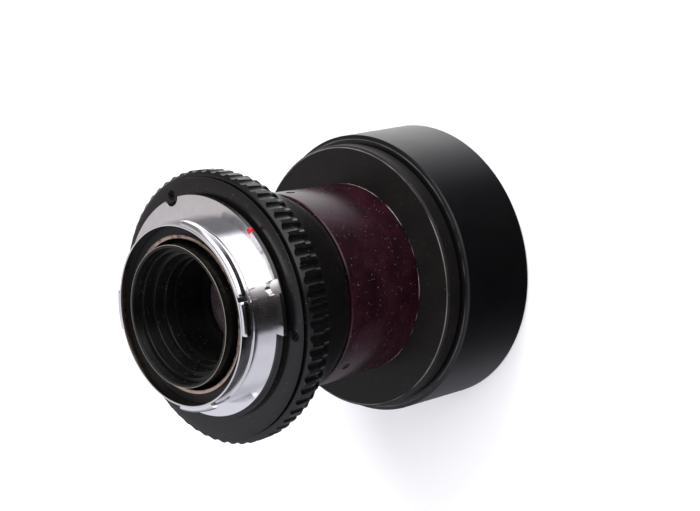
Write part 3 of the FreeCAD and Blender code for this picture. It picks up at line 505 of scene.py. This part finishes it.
def coated_glass():
    """Optical glass with a thin coating that turns its reflections purple, a little hazy with age."""
    material, tree, place = started("coated_glass")
    haze = add(tree, "ShaderNodeTexNoise", {"Vector": place, "Scale": 1 / GLASS_HAZE}).outputs["Fac"]
    colour = add(tree, "ShaderNodeMix", {FACTOR: haze, FIRST: linear("#a08c9a"), SECOND: linear("#b8a6b0")},
                 data_type="RGBA")
    gloss = add(tree, "ShaderNodeMapRange", {"Value": haze, "From Min": 0.3, "From Max": 0.7, "To Max": 0.02})
    finished(tree, Base_Color=colour.outputs[MIXED], Roughness=gloss.outputs[0], IOR=1.6,
             Transmission_Weight=0.85, Thin_Film_Thickness=105.0, Thin_Film_IOR=1.38)
    return material


FINISHES = {
    "mount_chrome": plated_chrome(),
    "index_red": red_enamel(),
    "satin_black": satin_black(),
    "plum_black": plum_black(),
    "plate_black": plate_black(),
    "hood_black": hood_black(),
    "cell_black": cell_black(),
    "blackened_brass": blackened_brass(),
    "helicoid_brass": bare_metal("turned_brass", "#b08a45", "#d0a85c", 0.3),
    "sleeve_aluminium": bare_metal("turned_aluminium", "#8d8e92", "#b9babd", 0.32),
    "blackened_steel": bare_metal("blackened_steel", "#1a1a1b", "#2b2a2b", 0.35),
    "key_steel": bare_metal("bright_steel", "#a2a3a6", "#c3c4c6", 0.25),
    "coated_glass": coated_glass(),
}


# Shapes

def turned(corners, start=0.0, sweep=360.0, width=EDGE):
    """Mesh turned about the lens axis from corners given as radius and height, with softened edges."""
    mesh = bmesh.new()
    points = [mesh.verts.new(at(radius, start, level)) for radius, level in corners]
    closed = sweep == 360.0
    lines = [mesh.edges.new(pair) for pair in zip(points, points[1:] + points[:1])]
    outline = lines if closed else lines + [mesh.faces.new(points)]
    steps = max(4, round(ROUND_STEPS * sweep / 360))
    bmesh.ops.spin(mesh, geom=points + outline, cent=ORIGIN, axis=AXIS, angle=math.radians(sweep),
                   steps=steps, use_merge=closed)
    bmesh.ops.remove_doubles(mesh, verts=mesh.verts[:], dist=WELD)
    bmesh.ops.recalc_face_normals(mesh, faces=mesh.faces[:])
    soften(mesh, width)
    return mesh


def soften(mesh, width, beyond=0.0, segments=2):
    """Bevels every sharp edge that lies further than a distance from the lens axis."""
    if width:
        edges = [edge for edge in mesh.edges if len(edge.link_faces) == 2 and edge.calc_face_angle() > SHARP
                 and min(vert.co.xy.length for vert in edge.verts) > beyond]
        bmesh.ops.bevel(mesh, geom=edges, offset=width, offset_type="OFFSET", segments=segments, profile=0.5,
                        affect="EDGES", clamp_overlap=True, material=-1)


def join(target, *others):
    """Adds the other meshes to the first."""
    for other in others:
        copy = bpy.data.meshes.new("joined")
        other.to_mesh(copy)
        other.free()
        target.from_mesh(copy)
        bpy.data.meshes.remove(copy)
    return target


def peg(radius, length, middle, direction=AXIS):
    """Round peg centred on a point."""
    mesh = bmesh.new()
    turn = AXIS.rotation_difference(Vector(direction)).to_matrix().to_4x4()
    bmesh.ops.create_cone(mesh, cap_ends=True, segments=PEG_STEPS, radius1=radius, radius2=radius,
                          depth=length, matrix=Matrix.Translation(middle) @ turn)
    return mesh


def block(size, middle, bearing):
    """Block with its first side along the given bearing."""
    mesh = bmesh.new()
    turn = Matrix.Rotation(math.radians(bearing), 4, "Z")
    bmesh.ops.create_cube(mesh, size=1.0,
                          matrix=Matrix.Translation(middle) @ turn @ Matrix.Diagonal((*size, 1.0)))
    return mesh


def made(name, mesh):
    """Object of a finished mesh, smooth but for its sharp edges."""
    data = bpy.data.meshes.new(name)
    mesh.to_mesh(data)
    mesh.free()
    data.shade_smooth()
    data.set_sharp_from_angle(angle=SMOOTH)
    piece = bpy.data.objects.new(name, data)
    bpy.context.scene.collection.objects.link(piece)
    return piece


def carved(mesh, tools):
    """The mesh with every tool cut from it."""
    body = made("body", mesh)
    carver = made("carver", join(*tools))
    cut = body.modifiers.new("cut", "BOOLEAN")
    cut.operation = "DIFFERENCE"
    cut.solver = "EXACT"
    cut.use_self = True
    cut.object = carver
    bpy.context.view_layer.update()
    whole = body.evaluated_get(bpy.context.evaluated_depsgraph_get())
    data = bpy.data.meshes.new_from_object(whole)
    result = bmesh.new()
    result.from_mesh(data)
    for thing in (body, carver):
        leftover = thing.data
        bpy.data.objects.remove(thing)
        bpy.data.meshes.remove(leftover)
    bpy.data.meshes.remove(data)
    return result


def dress(name, mesh, node):
    """Object that stands for a CAD node, on its body and in its finish."""
    piece = made(name, mesh)
    piece.data.materials.append(FINISHES[SLOT[node]])
    weighted = piece.modifiers.new("even_normals", "WEIGHTED_NORMAL")
    weighted.keep_sharp = True
    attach(piece, BODY[node])
    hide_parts(node)
    return piece


def bayonet():
    """Chrome flange with its tube, lugs, notch, lock pocket and cut-down side."""
    radius, rim, front = ends("bayonet_mount")
    flange = turned([(TUBE_BORE, front), (TUBE_BORE, SEAT), (radius, SEAT), (radius, front)], width=0)
    reach = radius + 2 * MM
    start, stop = FLANGE_CUT_BEARINGS
    middle = SEAT - FLANGE_THICKNESS / 2
    thick = 4 * FLANGE_THICKNESS
    low = middle - thick / 2
    high = middle + thick / 2
    pocket = POCKET_RADIUS + POCKET_HALF_WIDTH
    tools = [
        turned([(FLANGE_CUT_RADIUS, low), (reach, low), (reach, high), (FLANGE_CUT_RADIUS, high)],
               start, stop - start, width=0),
        peg(NOTCH_HALF_WIDTH, thick, at(NOTCH_RADIUS + NOTCH_HALF_WIDTH, NOTCH_BEARING, middle)),
        peg(POCKET_HALF_WIDTH, 2 * POCKET_SINK, at(pocket, POCKET_BEARING, SEAT)),
        block((reach - pocket, 2 * POCKET_HALF_WIDTH, 2 * POCKET_SINK),
              at((reach + pocket) / 2, POCKET_BEARING, SEAT), POCKET_BEARING),
    ]
    flange = carved(flange, tools)
    soften(flange, EDGE)
    step = SEAT + TUBE_BASE_HEIGHT
    tube = turned([(TUBE_BORE, front), (TUBE_BORE, rim), (TUBE_RADIUS, rim), (TUBE_RADIUS, step),
                   (TUBE_BASE_RADIUS, step), (TUBE_BASE_RADIUS, front)])
    lugs = []
    low = rim - LUG_THICKNESS
    top = rim - EDGE
    inner = (TUBE_RADIUS + TUBE_BORE) / 2
    lean = LUG_RADIUS - LUG_LEAN
    profile = [(inner, low), (inner, top), (lean - LUG_BEVEL, top), (lean, top - LUG_BEVEL),
               (LUG_RADIUS, low)]
    for first, last in LUG_BEARINGS:
        lugs.append(turned(profile, first, last - first))
    return dress("bayonet", join(flange, tube, *lugs), "bayonet_mount")


def index_mark():
    """Red domed pin in the flange's rim."""
    low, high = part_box("index_dot")
    level = (low[2] + high[2]) / 2
    mesh = bmesh.new()
    bmesh.ops.create_uvsphere(mesh, u_segments=32, v_segments=16, radius=INDEX_RADIUS,
                              matrix=Matrix.Translation(at(INDEX_CIRCLE, INDEX_BEARING, level)))
    return dress("index_mark", mesh, "index_dot")


def baffle():
    """Ring inside the bayonet tube, with its thin worn lip."""
    radius, rear, front = ends("rear_baffle")
    lip = BAFFLE_LIP_RADIUS + BAFFLE_LIP_WALL
    step = rear - BAFFLE_LIP_HEIGHT
    return dress("baffle", turned([(BAFFLE_LIP_RADIUS, rear), (lip, rear), (lip, step), (radius, step),
                                   (radius, front), (BAFFLE_LIP_RADIUS, front)]), "rear_baffle")


def mount_plate():
    """Black ring in front of the flange."""
    radius, rear, front = ends("mount_ring")
    flat = SEAT - MOUNT_RING_DEPTH
    edge = flat - MOUNT_RING_FALL
    mesh = turned([(TUBE_BORE, rear), (MOUNT_STEP_RADIUS, rear), (MOUNT_STEP_RADIUS, flat),
                   (MOUNT_FLAT_RADIUS, flat), (radius, edge), (radius, edge - MOUNT_RING_EDGE),
                   (MOUNT_HUB_RADIUS, edge - MOUNT_RING_EDGE), (MOUNT_HUB_RADIUS, front), (TUBE_BORE, front)],
                  width=RING_EDGE)
    sinks = [peg(RING_SCREW_RADIUS + 2 * FIT, 2 * RING_SCREW_SINK, at(RING_SCREW_CIRCLE, bearing, flat))
             for bearing in RING_SCREW_BEARINGS]
    return dress("mount_plate", carved(mesh, sinks), "mount_ring")


def swept(mesh, start, centre, angle, steps):
    """Arc drawn by a point that turns about a centre; gives its last point."""
    drawn = bmesh.ops.spin(mesh, geom=[start], cent=centre, axis=AXIS, angle=angle, steps=steps)
    return next(item for item in drawn["geom_last"] if isinstance(item, bmesh.types.BMVert))


def row(crest, depth, rear, front, cuts):
    """Fluted row: one land with half a flute on each side, cut to its slopes and repeated all round."""
    pitch = math.radians(360 / FLUTE_COUNT)
    half = math.asin(FLUTE_WIDTH / 2 / crest)
    rise = depth - crest * (1 - math.cos(half))
    hollow = ((FLUTE_WIDTH / 2) ** 2 + rise ** 2) / (2 * rise)
    flank = -math.asin(FLUTE_WIDTH / 2 / hollow)
    land = FLUTE_BEARING + 180 / FLUTE_COUNT
    sides = (FLUTE_BEARING, FLUTE_BEARING + 360 / FLUTE_COUNT)
    mesh = bmesh.new()
    first = mesh.verts.new(at(crest - depth, sides[0], rear))
    edge = swept(mesh, first, at(crest - depth + hollow, sides[0], rear), flank, 6)
    edge = swept(mesh, edge, (0, 0, rear), pitch - 2 * half, 2)
    last = swept(mesh, edge, at(crest - depth + hollow, sides[1], rear), flank, 6)
    corner = mesh.verts.new(at(FOCUS_BORE, sides[1], rear))
    mesh.edges.new((last, corner))
    mesh.edges.new((swept(mesh, corner, (0, 0, rear), -pitch, 3), first))
    face = bmesh.ops.contextual_create(mesh, geom=mesh.edges[:])["faces"]
    grown = bmesh.ops.extrude_face_region(mesh, geom=face, use_keep_orig=True)["geom"]
    moved = [item for item in grown if isinstance(item, bmesh.types.BMVert)]
    bmesh.ops.translate(mesh, verts=moved, vec=(0, 0, front - rear))
    bmesh.ops.recalc_face_normals(mesh, faces=mesh.faces[:])
    for radius, level, outwards, upwards in cuts:
        bmesh.ops.bisect_plane(mesh, geom=mesh.verts[:] + mesh.edges[:] + mesh.faces[:], dist=1e-8,
                               plane_co=at(radius, land, level), plane_no=at(outwards, land, upwards),
                               clear_outer=True)
        bmesh.ops.holes_fill(mesh, edges=[edge for edge in mesh.edges if edge.is_boundary])
    walls = [face for face in mesh.faces for side in sides
             if abs(face.calc_center_median().dot(at(1, side + 90, 0))) < 1e-7
             and abs(face.normal.dot(at(1, side + 90, 0))) > 0.999]
    bmesh.ops.delete(mesh, geom=walls, context="FACES_ONLY")
    soften(mesh, FINE_EDGE, FOCUS_BORE + FINE_EDGE, 1)
    bmesh.ops.spin(mesh, geom=mesh.verts[:] + mesh.edges[:] + mesh.faces[:], cent=ORIGIN, axis=AXIS,
                   angle=math.radians(360) - pitch, steps=FLUTE_COUNT - 1, use_duplicate=True)
    bmesh.ops.remove_doubles(mesh, verts=mesh.verts[:], dist=WELD)
    bmesh.ops.recalc_face_normals(mesh, faces=mesh.faces[:])
    return mesh


def grip():
    """Focus ring: two fluted rows on a turned core that runs out into the cone."""
    crest, rear, front = ends("focus_ring")
    rows = rear - REAR_ROW_LENGTH
    cone = rows - FRONT_ROW_LENGTH
    rear_cuts = [
        (FOCUS_EDGE_RADIUS, rear, REAR_CHAMFER, crest - FOCUS_EDGE_RADIUS),
        (crest, rear - REAR_CHAMFER, REAR_ROW_LENGTH - REAR_CHAMFER, -REAR_TAPER),
    ]
    front_cuts = [(FRONT_ROW_RADIUS, cone + FRONT_CHAMFER, 1, -1)]
    wall = FOCUS_BORE + CORE_WALL
    recess = rear - RETAINER_DEPTH
    foot = cone + CORE_OVERLAP
    seat = front + NUT_SEAT
    low = cone + NUT_FLANGE_FRONT
    high = cone + NUT_FLANGE_REAR
    core = turned([
        (RETAINER_BORE, recess), (wall, recess), (wall, foot), (CONE_REAR_RADIUS, foot),
        (CONE_REAR_RADIUS, cone), (CONE_FRONT_RADIUS, front), (CONE_BORE, front), (CONE_BORE, seat),
        (NUT_BORE, seat), (NUT_BORE, low), (NUT_FLANGE_BORE, low), (NUT_FLANGE_BORE, high),
        (RETAINER_BORE, high),
    ], width=CORE_EDGE)
    rear_row = row(crest, REAR_FLUTE_DEPTH, rear, rows, rear_cuts)
    front_row = row(FRONT_ROW_RADIUS, FRONT_FLUTE_DEPTH, rows + ROW_OVERLAP, cone, front_cuts)
    return dress("grip", join(core, rear_row, front_row), "focus_ring")


def barrel():
    """Slim barrel, slightly tapered, with the sunk holes of its three grub screws."""
    radius, rear, front = ends("main_barrel")
    plate = front + BARREL_SPIGOT_LENGTH
    straight = rear - BARREL_STRAIGHT
    seat = front + BARREL_SEAT_LENGTH
    bore = BARREL_BORE - BARREL_BORE_STEP
    mesh = turned([
        (BARREL_BORE, rear), (radius - BARREL_EDGE, rear), (radius, rear - BARREL_EDGE), (radius, straight),
        (BARREL_FRONT_RADIUS, straight - BARREL_TAPER), (BARREL_FRONT_RADIUS, plate),
        (BARREL_SPIGOT_RADIUS, plate), (BARREL_SPIGOT_RADIUS, front), (bore, front), (bore, seat),
        (BARREL_BORE, seat + BARREL_BORE_STEP),
    ], width=BARREL_SOFT_EDGE)
    level = rear - BARREL_SCREW_INSET
    holes = [peg(BARREL_SCREW_RADIUS, 2 * BARREL_HOLE_DEPTH, at(radius, bearing, level), at(1, bearing, 0))
             for bearing in BARREL_SCREW_BEARINGS]
    return dress("barrel", carved(mesh, holes), "main_barrel")


def plate():
    """Wide disc between barrel and hood, with the spigot that the hood screws onto."""
    radius, rear, front = ends("front_plate")
    step = rear - PLATE_THICKNESS
    bore = BARREL_SPIGOT_RADIUS + FIT
    return dress("plate", turned([
        (bore, rear), (radius - PLATE_EDGE, rear), (radius, rear - PLATE_EDGE), (radius, step),
        (SPIGOT_RADIUS, step), (SPIGOT_RADIUS, front), (SPIGOT_BORE, front), (SPIGOT_BORE, step),
        (bore, step),
    ]), "front_plate")


def hood():
    """Deep hood that the lens stands on, with its thread at the mouth."""
    radius, rear, front = ends("front_hood")
    seat = rear - HOOD_SEAT_LENGTH
    thread = front + HOOD_THREAD_LENGTH
    bore = SPIGOT_RADIUS + FIT
    return dress("hood", turned([
        (bore, rear), (radius - HOOD_REAR_STEP, rear), (radius, rear - HOOD_REAR_EDGE),
        (radius, front + HOOD_ROUND), (radius - HOOD_ROUND, front), (HOOD_THREAD_RADIUS + HOOD_ROUND, front),
        (HOOD_THREAD_RADIUS, front + HOOD_ROUND), (HOOD_THREAD_RADIUS, thread), (HOOD_BORE, thread),
        (HOOD_BORE, seat), (bore, seat),
    ]), "front_hood")


def threaded(radius, start, length):
    """Corners of a finely threaded wall that runs forwards from a level."""
    turns = max(2, round(length / THREAD_PITCH))
    corners = []
    for turn in range(turns):
        corners.append((radius, start - length * turn / turns))
        corners.append((radius - THREAD_HEIGHT, start - length * (turn + 0.5) / turns))
    return corners + [(radius, start - length)]


def rear_mouth():
    """Rear cell with its threaded, stepped mouth."""
    radius, rear, front = ends("rear_cell")
    corners = [(CELL_RADIUS, rear)]
    level = rear
    for step, length in CELL_STEPS:
        corners += threaded(step * MM, level, length * MM)
        level -= length * MM
    corners += [(CELL_BORE, level), (CELL_BORE, front), (radius, front), (radius, rear - CELL_SHOULDER),
                (CELL_RADIUS, rear - CELL_SHOULDER)]
    return dress("rear_mouth", turned(corners, width=THREAD_EDGE), "rear_cell")


def cross_head(bearing, top):
    """Cross-head screw seen from behind."""
    head = peg(RING_SCREW_RADIUS, RING_SCREW_HEIGHT,
               at(RING_SCREW_CIRCLE, bearing, top - RING_SCREW_HEIGHT / 2))
    soften(head, EDGE)
    middle = at(RING_SCREW_CIRCLE, bearing, top)
    for turn in (45, 135):
        head = carved(head, [block((CROSS_LENGTH, CROSS_WIDTH, RING_SCREW_HEIGHT), middle, bearing + turn)])
    return head


def mount_screws():
    """The three cross-head screws in the mount ring."""
    top = ends("mount_ring_screws")[1]
    heads = [cross_head(bearing, top) for bearing in RING_SCREW_BEARINGS]
    return dress("mount_screws", join(*heads), "mount_ring_screws")


def grub_screws():
    """The three slotted grub screws in the barrel."""
    radius, rear, front = ends("main_barrel")
    level = rear - BARREL_SCREW_INSET
    outer = radius - GRUB_SINK
    inner = BARREL_BORE + GRUB_CLEARANCE
    screws = []
    for bearing in BARREL_SCREW_BEARINGS:
        screw = peg(BARREL_SCREW_RADIUS - FIT, outer - inner, at((outer + inner) / 2, bearing, level),
                    at(1, bearing, 0))
        soften(screw, GRUB_EDGE)
        slot = block((2 * GRUB_SLOT_DEPTH, 3 * BARREL_SCREW_RADIUS, GRUB_SLOT_WIDTH),
                     at(outer, bearing, level), bearing)
        screws.append(carved(screw, [slot]))
    return dress("grub_screws", join(*screws), "barrel_set_screws")


bayonet()
index_mark()
baffle()
mount_plate()
mount_screws()
grip()
barrel()
grub_screws()
plate()
hood()
rear_mouth()

for node, thing in frame["nodes"].items():
    for place in thing.material_slots:
        place.material = FINISHES[SLOT[node]]


# Floor, light and camera

def floor():
    """Plain pale floor that keeps the shadow and stays out of the metal's reflections."""
    mesh = bmesh.new()
    bmesh.ops.create_grid(mesh, x_segments=1, y_segments=1, size=FLOOR_SIZE / 2)
    piece = made("floor", mesh)
    material, tree, place = started("pale_floor")
    cloud = add(tree, "ShaderNodeTexNoise", {"Vector": place, "Scale": 1 / (90 * MM)})
    colour = add(tree, "ShaderNodeMix", {FACTOR: cloud.outputs["Fac"], FIRST: linear("#f2f2f4"),
                                         SECOND: linear("#f4f4f6")}, data_type="RGBA")
    seen = add(tree, "ShaderNodeLightPath").outputs["Is Camera Ray"]
    glow = add(tree, "ShaderNodeMath", {0: seen, 1: FLOOR_GLOW}, operation="MULTIPLY")
    finished(tree, Base_Color=colour.outputs[MIXED], Roughness=0.7, Emission_Color=(1, 1, 1, 1),
             Emission_Strength=glow.outputs[0])
    piece.data.materials.append(material)
    piece.visible_glossy = False


def lamp(name, power, place):
    """Soft area lamp that points at the lens and stays out of its reflections."""
    data = bpy.data.lights.new(name, "AREA")
    data.energy = power
    data.shape = "RECTANGLE"
    data.size, data.size_y = LAMP_SIZE
    thing = bpy.data.objects.new(name, data)
    thing.location = place
    thing.rotation_euler = (Vector(LAMP_AIM) - Vector(place)).to_track_quat("-Z", "Y").to_euler()
    thing.visible_glossy = False
    bpy.context.scene.collection.objects.link(thing)


def lit(colour, strength):
    """Linear colour of a surface that is lit by the given strength."""
    return [strength * part for part in linear(colour)]


def studio():
    """Room round the lens as its metal shows it; the camera sees it white."""
    world = bpy.data.worlds.new("studio")
    bpy.context.scene.world = world
    world.use_nodes = True
    tree = world.node_tree
    tree.nodes.clear()
    way = add(tree, "ShaderNodeTexCoord").outputs["Generated"]
    x, y, z = add(tree, "ShaderNodeSeparateXYZ", {0: way}).outputs
    turn = add(tree, "ShaderNodeMath", {0: y, 1: x}, operation="ARCTAN2")
    around = add(tree, "ShaderNodeMapRange", {"Value": turn.outputs[0], "From Min": -math.pi,
                                              "From Max": math.pi})
    rings = []
    for stops in (BELOW, ABOVE):
        ramp = add(tree, "ShaderNodeValToRGB", {0: around.outputs[0]})
        marks = ramp.color_ramp.elements
        for mark in marks:
            mark.color = lit(*stops[0][1])
        for bearing, surface in stops[1:]:
            marks.new(bearing / 360 + 0.5).color = lit(*surface)
        rings.append(ramp.outputs[0])
    rise = add(tree, "ShaderNodeMapRange", {"Value": z, "From Min": HORIZON[0], "From Max": HORIZON[1]})
    fade = add(tree, "ShaderNodeMapRange", {"Value": z, "From Min": DEPTH[0], "From Max": DEPTH[1]})
    below = add(tree, "ShaderNodeMix", {FACTOR: fade.outputs[0], FIRST: lit(*FOOT), SECOND: rings[0]},
                data_type="RGBA")
    room = add(tree, "ShaderNodeMix", {FACTOR: rise.outputs[0], FIRST: below.outputs[MIXED],
                                       SECOND: rings[1]}, data_type="RGBA")
    seen = add(tree, "ShaderNodeLightPath").outputs["Is Camera Ray"]
    shown = add(tree, "ShaderNodeMix", {FACTOR: seen, FIRST: room.outputs[MIXED], SECOND: (1, 1, 1, 1)},
                data_type="RGBA")
    ground = add(tree, "ShaderNodeBackground", {"Color": shown.outputs[MIXED], "Strength": 1.0})
    add(tree, "ShaderNodeOutputWorld", {"Surface": ground.outputs[0]})


def camera():
    """Camera at the photograph's viewpoint, rolled so that the standing lens lies as it does there."""
    data = bpy.data.cameras.new("camera")
    data.lens = CAMERA_LENS
    thing = bpy.data.objects.new("camera", data)
    thing.matrix_world = (
        Matrix.Translation(CAMERA_AIM)
        @ Matrix.Rotation(math.radians(CAMERA_AZIMUTH), 4, "Z")
        @ Matrix.Rotation(math.radians(90 - CAMERA_ELEVATION), 4, "X")
        @ Matrix.Translation((0, 0, CAMERA_DISTANCE))
        @ Matrix.Rotation(math.radians(CAMERA_ROLL), 4, "Z")
    )
    bpy.context.scene.collection.objects.link(thing)
    bpy.context.scene.camera = thing


floor()
lamp("key", KEY_POWER, KEY_PLACE)
lamp("fill", FILL_POWER, FILL_PLACE)
studio()
camera()
bpy.context.scene.view_settings.view_transform = "Standard"
